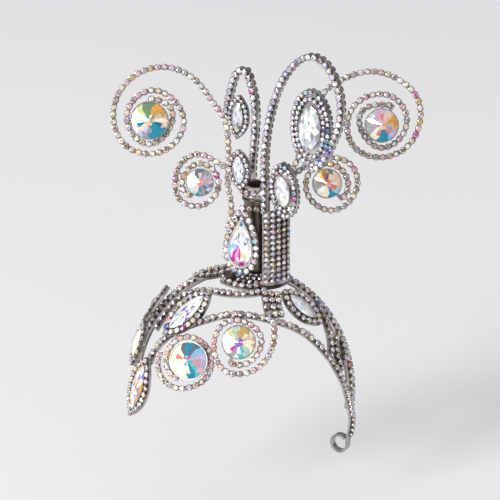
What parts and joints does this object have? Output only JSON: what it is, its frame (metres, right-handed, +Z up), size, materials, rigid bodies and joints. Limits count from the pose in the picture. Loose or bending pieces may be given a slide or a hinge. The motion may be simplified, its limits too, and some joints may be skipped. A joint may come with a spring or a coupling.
{
  "type": "rhinestone hair ornament",
  "caption": "Openwork domed hair ornament with a tube neck, tall loops, round-stone spirals and leaves of chain-set crystals, fixed by a curled hairpin eye.",
  "frame": {"origin": "axis of the neck tube where it stands on the crown of the band, which is also where the band rests on the hair", "axes": "+X to the viewer's right, +Y away from the viewer, +Z up along the neck tube"},
  "size_m": [0.1549, 0.0629, 0.2175],
  "materials": {
    "frame_metal": "dark rhodium tone plating, worn at the edges",
    "neck_metal": "dull dark plating",
    "hook_metal": "bare bright strip",
    "chain_cup": "small pressed cups",
    "small_crystal": "foiled crystal with an iridescent coat",
    "rivoli_crystal": "foiled crystal with an iridescent coat",
    "fancy_crystal": "foiled crystal with an iridescent coat"
  },
  "bodies": {
    "root": {"back_spirals_cups": "chain_cup", "back_spirals_stones": "small_crystal", "band_cups": "chain_cup", "band_stones": "small_crystal", "collar": "frame_metal", "crest_crescent": "frame_metal", "crest_leaf_frame": "frame_metal", "crest_saddle": "neck_metal", "front_left_spiral_frame": "frame_metal", "front_left_spiral_rivoli": "rivoli_crystal", "front_right_spiral_frame": "frame_metal", "front_right_spiral_rivoli": "rivoli_crystal", "front_rim": "frame_metal", "front_spirals_cups": "chain_cup", "front_spirals_stones": "small_crystal", "left_leaf_1_frame": "frame_metal", "left_leaf_1_navette": "fancy_crystal", "left_leaf_2_frame": "frame_metal", "left_leaf_2_navette": "fancy_crystal", "left_leaf_3_frame": "frame_metal", "left_leaf_3_navette": "fancy_crystal", "left_loop": "frame_metal", "left_petal_frame": "frame_metal", "left_petal_navette": "fancy_crystal", "leg_eye": "hook_metal", "loops_cups": "chain_cup", "loops_stones": "small_crystal", "low_petal_frame": "frame_metal", "low_petal_navette": "fancy_crystal", "lower_left_spiral_frame": "frame_metal", "lower_left_spiral_rivoli": "rivoli_crystal", "lower_medallion_navette": "fancy_crystal", "lower_medallion_plate": "frame_metal", "lower_right_spiral_frame": "frame_metal", "lower_right_spiral_rivoli": "rivoli_crystal", "medallions_cups": "chain_cup", "medallions_stones": "small_crystal", "middle_rim": "frame_metal", "neck_column": "frame_metal", "neck_cups": "chain_cup", "neck_shield": "frame_metal", "neck_stones": "small_crystal", "neck_tube": "neck_metal", "open_leaf_frame": "frame_metal", "pear_frame": "frame_metal", "pear_stone": "fancy_crystal", "pendant_leaf_frame": "frame_metal", "pendant_leaf_navette": "fancy_crystal", "rear_band": "frame_metal", "rear_rim": "frame_metal", "right_leaf_frame": "frame_metal", "right_leaf_navette": "fancy_crystal", "right_loop": "frame_metal", "right_strut": "frame_metal", "upper_left_spiral_frame": "frame_metal", "upper_left_spiral_rivoli": "rivoli_crystal", "upper_medallion_navette": "fancy_crystal", "upper_medallion_plate": "frame_metal", "upper_right_spiral_frame": "frame_metal", "upper_right_spiral_rivoli": "rivoli_crystal"}
  },
  "joints": []
}
